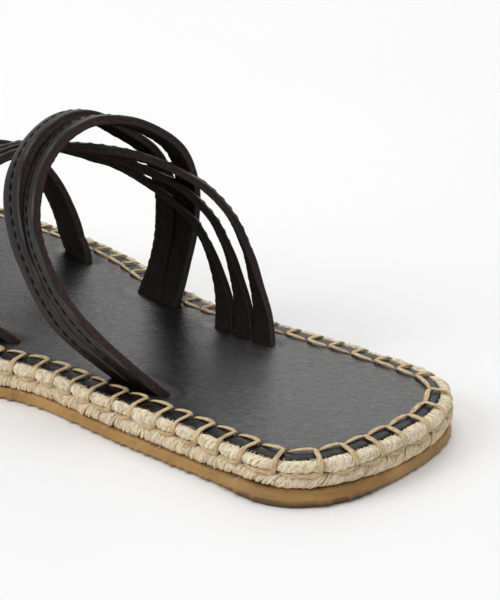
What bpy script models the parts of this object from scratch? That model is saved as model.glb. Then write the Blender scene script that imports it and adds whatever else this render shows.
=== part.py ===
"""Strappy leather slide sandal on a jute rope sole, left foot.

Built in millimetres and placed in metres.  While building, x runs from the
rearmost stitch hole at the heel towards the toe, y runs from the middle of the
heel towards the outer (little toe) side, and z runs up from the floor.  The
finished part stands on z = 0 with its origin under the middle of its box.
"""

from collections import namedtuple
from math import cos, sin, radians

import bmesh
import bpy
import numpy as np

# ------------------------------------------------------------------ sizes (mm)
STITCH_LENGTH = 239.0      # heel stitch hole to toe stitch hole
TOE_CENTRE_Y = -5.0        # where the toe's outline closes, towards the big toe
HEEL_CENTRE_Y = 2.5        # where the heel's outline closes
SIDE_POINTS = 54           # outline points on each side

OUTSOLE_TOP = 3.0          # gum rubber
GAP = 0.3                  # clearance between pieces that lie on each other
BRAID_TOP = 6.7            # lower rope layer
RIM_SEAT = 8.2             # upper rope layer, under the leather
RIM_CREST = 9.2            # upper rope layer, where it bulges past the leather
LEATHER_TOP = 9.9          # footbed surface
LEATHER_BOTTOM = RIM_SEAT + GAP

# how far each piece reaches outside the stitch line
LEATHER_EDGE = 3.9
RIM_EDGE = 5.5
BRAID_EDGE = 5.3
OUTSOLE_EDGE = 5.1

TOE_SPRING = 3.2           # lift of the sole under the toe end
SPRING_START = 172.0       # x where that lift starts

STRAP_THICK = 2.2          # two layers of leather
SLIT_ROOM = 0.4            # clearance round a strap where it goes into the footbed
STRAP_STEPS = 46           # sections along a strap
BASE_ANGLE = 40.0          # angle on the last, below the side, of the footbed
BURIED_ANGLE = 6.0         # and the further angle that goes through the leather
STRAP_END = LEATHER_BOTTOM + 0.05
STRAP_ANGLES = np.linspace(-BASE_ANGLE - BURIED_ANGLE, 180 + BASE_ANGLE + BURIED_ANGLE, STRAP_STEPS)

# --------------------------------------------------------- tables (mm, degrees)
# the stitch line: distance of its two sides from the centre line
Outline = namedtuple("Outline", "x outer inner")
OUTLINE = [
    Outline(0, 26.8, 27.2),
    Outline(40, 26.6, 27.2),
    Outline(62, 27.0, 25.6),
    Outline(84, 26.8, 24.3),
    Outline(97, 29.6, 26.2),
    Outline(111, 32.6, 29.2),
    Outline(125, 35.0, 34.2),
    Outline(138, 36.8, 36.7),
    Outline(160, 38.8, 38.4),
    Outline(186, 38.4, 39.0),
    Outline(212, 37.0, 38.6),
    Outline(239, 35.0, 37.5),
]

# how the outline turns in at the heel and at the toe: length of the turn and
# the squareness of its superellipse
Corner = namedtuple("Corner", "heel_run heel_square toe_run toe_square")
OUTER_CORNER = Corner(13.0, 2.6, 64.0, 2.25)
INNER_CORNER = Corner(18.0, 2.4, 44.0, 2.3)

# the foot form that the straps are laid over, heights above the footbed
Last = namedtuple("Last", "x half_width centre_y side_height top_height base_ratio")
LAST = [
    Last(40, 27.5, 0.8, 20.0, 60.0, 0.71),
    Last(65, 28.0, 0.8, 20.0, 58.0, 0.71),
    Last(90, 28.4, 0.8, 19.0, 53.0, 0.76),
    Last(113, 29.4, 0.6, 13.0, 46.5, 0.82),
    Last(140, 30.6, 0.0, 5.0, 36.5, 1.02),
    Last(168, 33.0, -0.5, 3.5, 30.0, 1.00),
]

# a strap: angle round the last (0 outer side, 90 top, 180 inner side), the x of
# its rear and front edges, how far each of them stands off the last, and the
# share of the strap's width that each gap between two bands takes
Strap = namedtuple("Strap", "angle rear front rear_lift front_lift gap")
REAR_STRAP = [                      # outer heel side to inner arch, two bands
    Strap(-46, 46.5, 62.0, 0.8, 0.8, 0.030),
    Strap(-36, 49.6, 66.6, 1.1, 1.1, 0.030),
    Strap(-17, 61.8, 79.6, 1.1, 1.1, 0.030),
    Strap(0, 73.6, 86.6, 1.1, 1.1, 0.030),
    Strap(20, 83.4, 95.2, 1.1, 1.1, 0.030),
    Strap(45, 89.4, 101.5, 1.1, 1.3, 0.030),
    Strap(75, 92.6, 105.2, 0.8, 1.3, 0.040),
    Strap(98, 93.4, 106.6, 0.5, 3.2, 0.070),
    Strap(118, 91.0, 104.8, 1.0, 3.2, 0.120),
    Strap(137, 85.7, 100.8, 0.8, 0.6, 0.100),
    Strap(155, 84.9, 101.2, 0.0, -0.2, 0.060),
    Strap(180, 88.4, 104.4, 0.4, 0.4, 0.030),
    Strap(198, 90.6, 105.6, 1.0, 1.0, 0.025),
    Strap(212, 90.4, 105.5, 1.1, 1.1, 0.025),
    Strap(226, 88.8, 104.6, 0.9, 0.9, 0.025),
]
LONG_STRAP = [                      # inner heel side to outer ball, three bands
    Strap(-46, 141.0, 159.0, 0.3, 0.3, 0.025),
    Strap(-30, 141.6, 159.6, 0.8, 0.8, 0.030),
    Strap(-10, 139.0, 157.6, 1.3, 1.3, 0.050),
    Strap(10, 134.4, 153.4, 1.5, 1.5, 0.080),
    Strap(30, 126.6, 145.2, 1.5, 1.6, 0.070),
    Strap(50, 117.0, 134.8, 1.2, 1.8, 0.045),
    Strap(70, 107.2, 124.4, -1.4, 0.6, 0.035),
    Strap(90, 99.8, 117.2, -5.4, -2.6, 0.035),
    Strap(110, 94.6, 112.4, -6.8, -5.8, 0.045),
    Strap(127, 90.2, 108.4, -6.0, -7.0, 0.075),
    Strap(142, 85.0, 103.2, -4.0, -4.2, 0.110),
    Strap(156, 77.8, 96.0, -2.3, -1.5, 0.140),
    Strap(170, 71.4, 89.6, -1.0, -0.5, 0.150),
    Strap(183, 67.0, 85.4, -0.4, -0.2, 0.130),
    Strap(197, 62.8, 81.4, 0.1, 0.1, 0.080),
    Strap(210, 57.0, 76.8, 0.3, 0.3, 0.035),
    Strap(226, 50.6, 71.2, 0.3, 0.3, 0.025),
]
FRONT_STRAP = [                     # over the forefoot, one band
    Strap(-46, 98.0, 111.0, 0.3, 0.3, 0.0),
    Strap(-34, 103.4, 116.0, 0.6, 0.6, 0.0),
    Strap(-17, 114.6, 126.4, 0.0, 0.0, 0.0),
    Strap(0, 124.6, 135.2, -0.2, -0.2, 0.0),
    Strap(20, 133.2, 143.0, -0.2, -0.2, 0.0),
    Strap(45, 138.0, 148.4, 0.2, 0.2, 0.0),
    Strap(75, 140.2, 151.2, 0.8, 0.8, 0.0),
    Strap(105, 140.4, 152.2, 1.0, 1.0, 0.0),
    Strap(135, 140.4, 152.8, 1.0, 1.0, 0.0),
    Strap(160, 138.8, 151.2, 1.0, 1.0, 0.0),
    Strap(180, 135.8, 148.0, 0.9, 0.9, 0.0),
    Strap(226, 131.8, 143.6, 0.3, 0.3, 0.0),
]
BANDS = {"rear": (REAR_STRAP, 2), "long": (LONG_STRAP, 3), "front": (FRONT_STRAP, 1)}

# ------------------------------------------------------------------- materials
Finish = namedtuple("Finish", "colour roughness metallic")
FINISHES = {
    "gum_rubber": Finish((0.56, 0.36, 0.15), 0.55, 0.0),
    "jute_braid": Finish((0.74, 0.64, 0.47), 0.90, 0.0),
    "jute_cord": Finish((0.78, 0.69, 0.53), 0.90, 0.0),
    "footbed_leather": Finish((0.055, 0.050, 0.050), 0.45, 0.0),
    "strap_leather": Finish((0.030, 0.023, 0.022), 0.48, 0.0),
}


# ------------------------------------------------------------------- functions
def column(rows, name, at):
    """Smooth curve through one named column of a table, at one or more places."""
    key = rows[0]._fields[0]
    xs = np.array([getattr(r, key) for r in rows], float)
    ys = np.array([getattr(r, name) for r in rows], float)
    slope = np.gradient(ys, xs)
    at = np.clip(np.asarray(at, float), xs[0], xs[-1])
    i = np.clip(np.searchsorted(xs, at) - 1, 0, len(xs) - 2)
    h = xs[i + 1] - xs[i]
    t = (at - xs[i]) / h
    return ((2 * t**3 - 3 * t**2 + 1) * ys[i] + (t**3 - 2 * t**2 + t) * h * slope[i]
            + (3 * t**2 - 2 * t**3) * ys[i + 1] + (t**3 - t**2) * h * slope[i + 1])


def toe_lift(x):
    """Rise of the sole at x: level under heel and ball, curved up at the toe."""
    t = np.clip((np.asarray(x, float) - SPRING_START) / (STITCH_LENGTH - SPRING_START), 0, 1.2)
    return TOE_SPRING * t * t


def turn(distance, run, square):
    """Share of the full width left at a distance from an end of the outline."""
    t = np.clip(1.0 - distance / run, 0.0, 1.0)
    return (1.0 - t**square) ** (1.0 / square)


def stitch_side(side):
    """One side of the stitch line from heel to toe, points closer where it turns."""
    corner = OUTER_CORNER if side == "outer" else INNER_CORNER
    sign = 1.0 if side == "outer" else -1.0
    x = STITCH_LENGTH * (1.0 - np.cos(np.linspace(0, np.pi, 1600))) / 2
    full = sign * column(OUTLINE, side, x)
    share = x / STITCH_LENGTH
    centre = HEEL_CENTRE_Y * (1 - share) ** 8 + TOE_CENTRE_Y * share ** 6
    y = centre + (full - centre) * (turn(x, corner.heel_run, corner.heel_square)
                                    * turn(STITCH_LENGTH - x, corner.toe_run, corner.toe_square))
    step = np.hypot(np.diff(x), np.diff(y))
    heading = np.unwrap(np.arctan2(np.diff(y), np.diff(x)))
    bend = np.abs(np.concatenate([[0], np.diff(heading)]))
    weight = np.cumsum(0.62 * step / step.sum() + 0.38 * bend / bend.sum())
    run = np.concatenate([[0], weight])
    at = run[-1] * (np.arange(SIDE_POINTS) + 0.5) / SIDE_POINTS
    return np.stack([np.interp(at, run, x), np.interp(at, run, y)], axis=1)


def closed_outline():
    """The stitch line as one closed loop: outer side to the toe, inner side back."""
    return np.concatenate([stitch_side("outer"), stitch_side("inner")[::-1]])


def grown(loop, reach):
    """The loop moved outwards by reach."""
    along = np.roll(loop, -1, axis=0) - np.roll(loop, 1, axis=0)
    along /= np.linalg.norm(along, axis=1)[:, None]
    return loop + reach * np.stack([-along[:, 1], along[:, 0]], axis=1)


STITCH_LINE = closed_outline()
WIDEST = grown(STITCH_LINE, RIM_EDGE)
MIDDLE = (WIDEST.min(axis=0) + WIDEST.max(axis=0)) / 2


def placed(point):
    """Building millimetres to the part's own frame in metres."""
    return ((point[0] - MIDDLE[0]) / 1000, (point[1] - MIDDLE[1]) / 1000, point[2] / 1000)


def layer_mesh(name, profile):
    """A sole layer: rings of the outline at (reach, height), closed by flat
    strips that run from one side to the other."""
    bm = bmesh.new()
    rings = []
    for reach, height in profile:
        ring = grown(STITCH_LINE, reach)
        rings.append([bm.verts.new(placed((x, y, height + toe_lift(x)))) for x, y in ring])
    count = len(rings[0])
    for low, high in zip(rings, rings[1:]):
        for i in range(count):
            j = (i + 1) % count
            bm.faces.new((low[j], low[i], high[i], high[j]))
    for i in range(SIDE_POINTS - 1):
        a, b, c, d = i, i + 1, count - 2 - i, count - 1 - i
        bm.faces.new([rings[0][k] for k in (a, b, c, d)])
        bm.faces.new([rings[-1][k] for k in (d, c, b, a)])
    bmesh.ops.recalc_face_normals(bm, faces=bm.faces)
    mesh = bpy.data.meshes.new(name)
    bm.to_mesh(mesh)
    bm.free()
    return mesh


def last_point(angle, x):
    """Point of the foot form at an angle round it and at x."""
    half, centre, side, top, ratio = (float(column(LAST, f, x)) for f in Last._fields[1:])
    mirrored = angle > 90.0
    a = 180.0 - angle if mirrored else angle
    if a >= 0.0:
        y, z = half * cos(radians(a)), side + (top - side) * sin(radians(a))
    else:
        t = min(-a / BASE_ANGLE, 1.0)
        y, z = half * (1.0 - (1.0 - ratio) * t * t), side * (1.0 - t)
        if a < -BASE_ANGLE:
            deep = 1.6 * (LEATHER_TOP - LEATHER_BOTTOM) * (-a - BASE_ANGLE) / BURIED_ANGLE
            y, z = y - 2.0 * half * (1.0 - ratio) * deep / side, -deep
    return np.array([x, centre + (-y if mirrored else y), z + LEATHER_TOP])


def last_normal(angle, x):
    """Outward direction of the foot form there."""
    round_it = last_point(angle + 0.5, x) - last_point(angle - 0.5, x)
    along_it = last_point(angle, x + 0.5) - last_point(angle, x - 0.5)
    n = np.cross(round_it, along_it)
    return n / np.linalg.norm(n)


def strap_point(rows, angle, share, height):
    """Point of a strap: share 0 at its rear edge and 1 at its front edge."""
    rear, front = float(column(rows, "rear", angle)), float(column(rows, "front", angle))
    x = rear + (front - rear) * share
    low, high = float(column(rows, "rear_lift", angle)), float(column(rows, "front_lift", angle))
    return last_point(angle, x) + last_normal(angle, x) * (low + (high - low) * share + height)


def strip_mesh(name, rows, low, high, angles, extra=0.0, columns=1, flat_ends=True):
    """A band: a thick strip between two shares of the strap's width."""
    sections = []
    half = STRAP_THICK / 2 + extra
    for angle in angles:
        width = float(column(rows, "front", angle) - column(rows, "rear", angle))
        a, b = low(angle) - extra / width, high(angle) + extra / width
        across = np.linspace(a, b, columns + 1)
        sections.append([strap_point(rows, angle, s, -half) for s in across]
                        + [strap_point(rows, angle, s, half) for s in across[::-1]])
    if flat_ends:
        for end, inner in ((0, 1), (-1, -2)):
            sections[end] = [c + (n - c) * (STRAP_END - c[2]) / (n[2] - c[2])
                             for c, n in zip(sections[end], sections[inner])]
    bm = bmesh.new()
    rings = [[bm.verts.new(placed(c)) for c in corners] for corners in sections]
    for one, two in zip(rings, rings[1:]):
        for i in range(len(one)):
            j = (i + 1) % len(one)
            bm.faces.new((one[i], one[j], two[j], two[i]))
    bm.faces.new(rings[0])
    bm.faces.new(rings[-1])
    bmesh.ops.recalc_face_normals(bm, faces=bm.faces)
    mesh = bpy.data.meshes.new(name)
    bm.to_mesh(mesh)
    bm.free()
    return mesh


def band_edges(rows, count, index):
    """Functions of angle that give a band's share of the strap's width."""
    def low(angle):
        gap = float(column(rows, "gap", angle))
        return index * ((1 - gap * (count - 1)) / count + gap)

    def high(angle):
        gap = float(column(rows, "gap", angle))
        return low(angle) + (1 - gap * (count - 1)) / count
    return low, high


def slit_mesh(name):
    """One closed form for each strap end, a little larger than the strap."""
    bm = bmesh.new()
    for key, (rows, count) in BANDS.items():
        outer_end = np.concatenate([[STRAP_ANGLES[0] - 8.0], STRAP_ANGLES[:4]])
        inner_end = np.concatenate([STRAP_ANGLES[-4:], [STRAP_ANGLES[-1] + 8.0]])
        for angles in (outer_end, inner_end):
            piece = strip_mesh("slit_" + key, rows, lambda a: 0.0, lambda a: 1.0,
                               angles, extra=SLIT_ROOM, columns=9, flat_ends=False)
            bm.from_mesh(piece)
            bpy.data.meshes.remove(piece)
    mesh = bpy.data.meshes.new(name)
    bm.to_mesh(mesh)
    bm.free()
    return mesh


def material(name):
    finish = FINISHES[name]
    mat = bpy.data.materials.new(name)
    mat.use_nodes = True
    shader = mat.node_tree.nodes["Principled BSDF"]
    shader.inputs["Base Color"].default_value = (*finish.colour, 1.0)
    shader.inputs["Roughness"].default_value = finish.roughness
    shader.inputs["Metallic"].default_value = finish.metallic
    return mat


def add_object(name, mesh, collection, finish=None):
    obj = bpy.data.objects.new(name, mesh)
    collection.objects.link(obj)
    if finish:
        mesh.materials.append(material(finish))
        mesh.shade_smooth()
        mesh.set_sharp_from_angle(angle=radians(40))
    else:
        obj.hide_render = True
        obj.display_type = "WIRE"
    return obj


def boolean(obj, operation, tool):
    mod = obj.modifiers.new(operation.lower() + "_" + tool.name, "BOOLEAN")
    mod.operation = operation
    mod.solver = "EXACT"
    mod.object = tool


# ----------------------------------------------------------------------- model
def main():
    for obj in list(bpy.data.objects):
        bpy.data.objects.remove(obj, do_unlink=True)
    parts = bpy.data.collections.new("strappy_jute_slide")
    tools = bpy.data.collections.new("cutters")
    for collection in (parts, tools):
        bpy.context.scene.collection.children.link(collection)

    add_object("outsole", layer_mesh("outsole", [
        (OUTSOLE_EDGE - 0.7, 0.0), (OUTSOLE_EDGE, 0.6),
        (OUTSOLE_EDGE - 0.2, OUTSOLE_TOP)]), parts, "gum_rubber")

    braid_bottom = OUTSOLE_TOP + GAP
    braid_middle = (braid_bottom + BRAID_TOP) / 2
    add_object("jute_midsole", layer_mesh("jute_midsole", [
        (BRAID_EDGE - 1.1, braid_bottom), (BRAID_EDGE - 0.25, braid_bottom + 0.8),
        (BRAID_EDGE, braid_middle), (BRAID_EDGE - 0.25, BRAID_TOP - 0.8),
        (BRAID_EDGE - 1.1, BRAID_TOP)]), parts, "jute_braid")

    rim_bottom = BRAID_TOP + GAP
    add_object("jute_rim", layer_mesh("jute_rim", [
        (RIM_EDGE - 1.1, rim_bottom), (RIM_EDGE - 0.25, rim_bottom + 0.6),
        (RIM_EDGE, rim_bottom + 1.0), (RIM_EDGE - 0.35, RIM_CREST - 0.5),
        (LEATHER_EDGE + GAP + 0.45, RIM_CREST), (LEATHER_EDGE + GAP, RIM_CREST - 0.25),
        (LEATHER_EDGE + GAP, RIM_SEAT)]), parts, "jute_cord")

    footbed = add_object("footbed", layer_mesh("footbed", [
        (LEATHER_EDGE, LEATHER_BOTTOM), (LEATHER_EDGE, LEATHER_TOP - 0.5),
        (LEATHER_EDGE - 0.5, LEATHER_TOP)]), parts, "footbed_leather")
    boolean(footbed, "DIFFERENCE", add_object("strap_slits", slit_mesh("strap_slits"), tools))

    upper = None
    order = [("long", 0), ("rear", 0), ("rear", 1), ("front", 0), ("long", 1), ("long", 2)]
    for key, index in order:
        rows, count = BANDS[key]
        low, high = band_edges(rows, count, index)
        name = "strap_upper" if upper is None else "band_%s_%d" % (key, index)
        mesh = strip_mesh(name, rows, low, high, STRAP_ANGLES)
        if upper is None:
            upper = add_object(name, mesh, parts, "strap_leather")
        else:
            boolean(upper, "UNION", add_object(name, mesh, tools))


main()
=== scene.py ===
"""Looks of a strappy leather slide sandal on a jute rope sole, left foot.

Everything is worked out in millimetres in the shoe's own building frame and
placed in metres: x runs from the rearmost stitch hole to the toe, y to the outer
side, z up from the floor.
"""

from collections import namedtuple
from math import radians

import bmesh
import bpy
import numpy as np
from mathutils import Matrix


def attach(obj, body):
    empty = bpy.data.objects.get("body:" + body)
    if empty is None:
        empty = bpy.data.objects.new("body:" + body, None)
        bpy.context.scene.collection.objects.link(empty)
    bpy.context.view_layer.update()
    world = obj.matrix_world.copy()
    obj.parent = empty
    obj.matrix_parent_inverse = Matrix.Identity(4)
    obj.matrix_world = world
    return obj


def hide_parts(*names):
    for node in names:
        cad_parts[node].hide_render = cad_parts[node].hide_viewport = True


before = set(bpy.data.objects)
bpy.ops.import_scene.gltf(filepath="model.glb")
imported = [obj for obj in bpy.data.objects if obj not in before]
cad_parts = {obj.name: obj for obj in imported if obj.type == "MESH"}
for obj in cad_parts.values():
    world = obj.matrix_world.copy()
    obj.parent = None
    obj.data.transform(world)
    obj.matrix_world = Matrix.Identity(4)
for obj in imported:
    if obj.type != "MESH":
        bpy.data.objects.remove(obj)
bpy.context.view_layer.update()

# ------------------------------------------------------------------ sizes (mm)
STITCH_LENGTH = 239.0
TOE_CENTRE_Y = -5.0
HEEL_CENTRE_Y = 2.5
OUTSOLE_TOP = 3.0
GAP = 0.3
BRAID_TOP = 6.7
RIM_SEAT = 8.2
LEATHER_TOP = 9.9
LEATHER_BOTTOM = RIM_SEAT + GAP
LEATHER_EDGE = 3.9
RIM_EDGE = 5.5
BRAID_EDGE = 5.3
OUTSOLE_EDGE = 5.1
TOE_SPRING = 3.2
SPRING_START = 172.0
STRAP_THICK = 2.2
BASE_ANGLE = 40.0
BURIED_ANGLE = 6.0
STRAP_END = LEATHER_BOTTOM + 0.05
MIDDLE = (119.49088, -0.03294)

Outline = namedtuple("Outline", "x outer inner")
OUTLINE = [
    Outline(0, 26.8, 27.2),
    Outline(40, 26.6, 27.2),
    Outline(62, 27.0, 25.6),
    Outline(84, 26.8, 24.3),
    Outline(97, 29.6, 26.2),
    Outline(111, 32.6, 29.2),
    Outline(125, 35.0, 34.2),
    Outline(138, 36.8, 36.7),
    Outline(160, 38.8, 38.4),
    Outline(186, 38.4, 39.0),
    Outline(212, 37.0, 38.6),
    Outline(239, 35.0, 37.5),
]
Corner = namedtuple("Corner", "heel_run heel_square toe_run toe_square")
OUTER_CORNER = Corner(13.0, 2.6, 64.0, 2.25)
INNER_CORNER = Corner(18.0, 2.4, 44.0, 2.3)

Last = namedtuple("Last", "x half_width centre_y side_height top_height base_ratio")
LAST = [
    Last(40, 27.5, 0.8, 20.0, 60.0, 0.71),
    Last(65, 28.0, 0.8, 20.0, 58.0, 0.71),
    Last(90, 28.4, 0.8, 19.0, 53.0, 0.76),
    Last(113, 29.4, 0.6, 13.0, 46.5, 0.82),
    Last(140, 30.6, 0.0, 5.0, 36.5, 1.02),
    Last(168, 33.0, -0.5, 3.5, 30.0, 1.00),
]
Strap = namedtuple("Strap", "angle rear front rear_lift front_lift gap")
REAR_STRAP = [
    Strap(-46, 47.8, 62.4, 0.8, 0.8, 0.030),
    Strap(-36, 50.9, 66.9, 1.1, 1.1, 0.030),
    Strap(-17, 62.4, 79.6, 1.1, 1.1, 0.000),
    Strap(0, 73.6, 86.2, 1.1, 0.9, -0.040),
    Strap(20, 83.4, 94.6, 1.0, 1.0, -0.070),
    Strap(45, 89.4, 101.5, 0.4, 2.8, -0.060),
    Strap(75, 92.6, 105.2, -0.2, 4.0, -0.050),
    Strap(98, 93.4, 106.6, 0.2, 3.7, 0.070),
    Strap(118, 91.0, 104.8, 1.2, 1.0, 0.260),
    Strap(137, 85.7, 100.8, 0.9, 0.0, 0.220),
    Strap(155, 84.9, 101.2, 0.0, -0.2, 0.090),
    Strap(180, 88.4, 104.4, 0.4, 0.4, -0.010),
    Strap(198, 90.6, 105.6, 1.0, 1.0, -0.015),
    Strap(212, 90.4, 105.5, 1.1, 1.1, -0.015),
    Strap(226, 88.8, 104.6, 0.9, 0.9, -0.015),
]
LONG_STRAP = [
    Strap(-46, 141.0, 159.0, 0.3, 0.3, 0.025),
    Strap(-30, 141.6, 159.6, 0.8, 0.8, 0.030),
    Strap(-10, 139.0, 157.6, 1.3, 1.3, 0.050),
    Strap(10, 134.4, 153.4, 1.5, 1.5, 0.080),
    Strap(30, 126.6, 145.2, 1.5, 1.6, 0.070),
    Strap(50, 117.0, 134.8, 1.2, 1.8, 0.045),
    Strap(70, 107.2, 124.4, -1.4, 0.6, 0.035),
    Strap(90, 99.8, 117.2, -5.4, -2.6, 0.035),
    Strap(110, 94.6, 113.2, -6.4, -6.6, 0.080),
    Strap(127, 90.2, 109.4, -5.6, -7.6, 0.110),
    Strap(142, 85.0, 104.0, -4.0, -4.8, 0.140),
    Strap(156, 77.8, 96.0, -2.3, -1.5, 0.140),
    Strap(170, 71.4, 89.6, -1.0, -0.5, 0.150),
    Strap(183, 67.0, 85.4, -0.4, -0.2, 0.130),
    Strap(197, 62.8, 81.4, 0.1, 0.1, 0.080),
    Strap(210, 57.0, 76.8, 0.3, 0.3, 0.035),
    Strap(226, 50.6, 71.2, 0.3, 0.3, 0.025),
]
FRONT_STRAP = [
    Strap(-46, 98.0, 111.0, 0.3, 0.3, 0.0),
    Strap(-34, 103.4, 116.0, 0.6, 0.6, 0.0),
    Strap(-17, 114.6, 126.4, -0.9, -0.9, 0.0),
    Strap(0, 124.6, 135.2, -2.3, -2.3, 0.0),
    Strap(20, 133.2, 143.0, -2.7, -2.7, 0.0),
    Strap(45, 138.0, 148.4, -2.3, -2.3, 0.0),
    Strap(75, 140.2, 151.2, 0.0, 0.0, 0.0),
    Strap(105, 140.4, 152.2, 1.0, 1.0, 0.0),
    Strap(135, 140.4, 152.8, 1.0, 1.0, 0.0),
    Strap(160, 138.8, 151.2, 1.0, 1.0, 0.0),
    Strap(180, 135.8, 148.0, 0.9, 0.9, 0.0),
    Strap(226, 131.8, 143.6, 0.3, 0.3, 0.0),
]
STRAPS = {"rear": (REAR_STRAP, 2), "long": (LONG_STRAP, 3), "front": (FRONT_STRAP, 1)}

# how far each band is turned about its own length, rear edge outwards, in degrees
Twist = namedtuple("Twist", "angle rear long front")
TWIST = [
    Twist(-46, 0, 0, 0),
    Twist(-30, 1, 0, 0),
    Twist(-10, 3, 4, 3),
    Twist(10, 10, 8, 6),
    Twist(35, 19, 10, 10),
    Twist(60, 22, 8, 10),
    Twist(85, 16, 0, 6),
    Twist(105, 6, -6, 0),
    Twist(125, -4, -14, -4),
    Twist(145, -8, -24, -8),
    Twist(165, -8, -30, -10),
    Twist(185, -7, -30, -8),
    Twist(200, -5, -20, -5),
    Twist(213, -2, -8, -2),
    Twist(226, 0, 0, 0),
]

# the sewing round the rim
HOLE_START = -1.9          # place of one hole on the outline, from the heel's middle
HOLE_PITCH = 6.94
HEEL_PITCH = 8.395         # round the inner heel corner the stitches are longer
HEEL_STITCHES = 3


# ------------------------------------------------------------------- functions
def column(rows, name, at):
    """Smooth curve through one named column of a table."""
    key = rows[0]._fields[0]
    xs = np.array([getattr(r, key) for r in rows], float)
    ys = np.array([getattr(r, name) for r in rows], float)
    slope = np.gradient(ys, xs)
    at = np.clip(np.asarray(at, float), xs[0], xs[-1])
    i = np.clip(np.searchsorted(xs, at) - 1, 0, len(xs) - 2)
    h = xs[i + 1] - xs[i]
    t = (at - xs[i]) / h
    return ((2 * t**3 - 3 * t**2 + 1) * ys[i] + (t**3 - 2 * t**2 + t) * h * slope[i]
            + (3 * t**2 - 2 * t**3) * ys[i + 1] + (t**3 - t**2) * h * slope[i + 1])


def toe_lift(x):
    t = np.clip((np.asarray(x, float) - SPRING_START) / (STITCH_LENGTH - SPRING_START), 0, 1.2)
    return TOE_SPRING * t * t


def turn(distance, run, square):
    t = np.clip(1.0 - distance / run, 0.0, 1.0)
    return (1.0 - t**square) ** (1.0 / square)


def side_curve(side):
    corner = OUTER_CORNER if side == "outer" else INNER_CORNER
    sign = 1.0 if side == "outer" else -1.0
    x = STITCH_LENGTH * (1.0 - np.cos(np.linspace(0, np.pi, 4000))) / 2
    full = sign * column(OUTLINE, side, x)
    share = x / STITCH_LENGTH
    centre = HEEL_CENTRE_Y * (1 - share) ** 8 + TOE_CENTRE_Y * share ** 6
    y = centre + (full - centre) * (turn(x, corner.heel_run, corner.heel_square)
                                    * turn(STITCH_LENGTH - x, corner.toe_run, corner.toe_square))
    return np.stack([x, y], axis=1)


def arc_lengths(points):
    return np.concatenate([[0], np.cumsum(np.linalg.norm(np.diff(points, axis=0), axis=1))])


OUTER_SIDE, INNER_SIDE = side_curve("outer"), side_curve("inner")
LOOP = np.concatenate([OUTER_SIDE, INNER_SIDE[::-1][1:]])
LOOP_RUN = arc_lengths(LOOP)
PERIMETER = LOOP_RUN[-1]
OUTER_LENGTH = arc_lengths(OUTER_SIDE)[-1]


def rim_xy(s):
    s = np.mod(s, PERIMETER)
    return np.stack([np.interp(s, LOOP_RUN, LOOP[:, 0]), np.interp(s, LOOP_RUN, LOOP[:, 1])], axis=-1)


def rim_along(s):
    d = rim_xy(np.asarray(s) + 0.7) - rim_xy(np.asarray(s) - 0.7)
    return d / np.linalg.norm(d, axis=-1, keepdims=True)


def rim(s, reach, z):
    """Point at s along the stitch line, reach outside it, at height z of a level sole."""
    s, reach, z = np.broadcast_arrays(np.asarray(s, float), np.asarray(reach, float), np.asarray(z, float))
    along = rim_along(s)
    # drawn in a little at the inner corner of the heel
    round_corner = (s + 24.0 + PERIMETER / 2) % PERIMETER - PERIMETER / 2
    reach = reach - 0.8 * np.exp(-((round_corner / 15.0) ** 2)) * np.clip(reach / 4.0, 0, 1)
    xy = rim_xy(s) + reach[..., None] * np.stack([-along[..., 1], along[..., 0]], axis=-1)
    return np.concatenate([xy, (z + toe_lift(xy[..., 0]))[..., None]], axis=-1)


def stations(n):
    """n places on the outer side and n on the inner side, all the way round."""
    share = (np.arange(n) + 0.5) / n
    outer = OUTER_LENGTH * share
    inner = PERIMETER - (PERIMETER - OUTER_LENGTH) * share
    return np.concatenate([outer, inner[::-1]])


def wander(s, period, seed, length=None):
    """A smooth irregular wave of about that period, within about -1 to 1."""
    length = PERIMETER if length is None else length
    r = np.random.default_rng(seed)
    total = np.zeros_like(np.asarray(s, float))
    for k in range(7):
        turns = max(1, round(length / period * r.uniform(0.55, 1.7)))
        total = total + r.uniform(0.5, 1.0) * np.sin(2 * np.pi * (turns * s / length + r.random()))
    return total / 3.2


def last_points(angle, x):
    angle, x = np.broadcast_arrays(np.asarray(angle, float), np.asarray(x, float))
    half, centre, side, top, ratio = (column(LAST, f, x) for f in Last._fields[1:])
    mirrored = angle > 90.0
    a = np.where(mirrored, 180.0 - angle, angle)
    t = np.clip(-a / BASE_ANGLE, 0.0, 1.0)
    up = a >= 0.0
    y = np.where(up, half * np.cos(np.radians(a)), half * (1.0 - (1.0 - ratio) * t * t))
    z = np.where(up, side + (top - side) * np.sin(np.radians(a)), side * (1.0 - t))
    deep = 1.6 * (LEATHER_TOP - LEATHER_BOTTOM) * np.clip((-a - BASE_ANGLE) / BURIED_ANGLE, 0.0, None)
    y, z = y - 2.0 * half * (1.0 - ratio) * deep / side, z - deep
    return np.stack([x, centre + np.where(mirrored, -y, y), z + LEATHER_TOP], axis=-1)


def last_normals(angle, x):
    n = np.cross(last_points(angle + 0.5, x) - last_points(angle - 0.5, x),
                 last_points(angle, x + 0.5) - last_points(angle, x - 0.5))
    return n / np.linalg.norm(n, axis=-1, keepdims=True)


def strap_points(rows, angle, share, height):
    angle, share, height = np.broadcast_arrays(np.asarray(angle, float), np.asarray(share, float),
                                               np.asarray(height, float))
    rear, front = column(rows, "rear", angle), column(rows, "front", angle)
    x = rear + (front - rear) * share
    low, high = column(rows, "rear_lift", angle), column(rows, "front_lift", angle)
    lift = low + (high - low) * share + height
    return last_points(angle, x) + last_normals(angle, x) * lift[..., None]


def band_shares(rows, count, index, angle):
    gap = column(rows, "gap", angle)
    wide = (1 - gap * (count - 1)) / count
    low = index * (wide + gap)
    return low, low + wide


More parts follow.
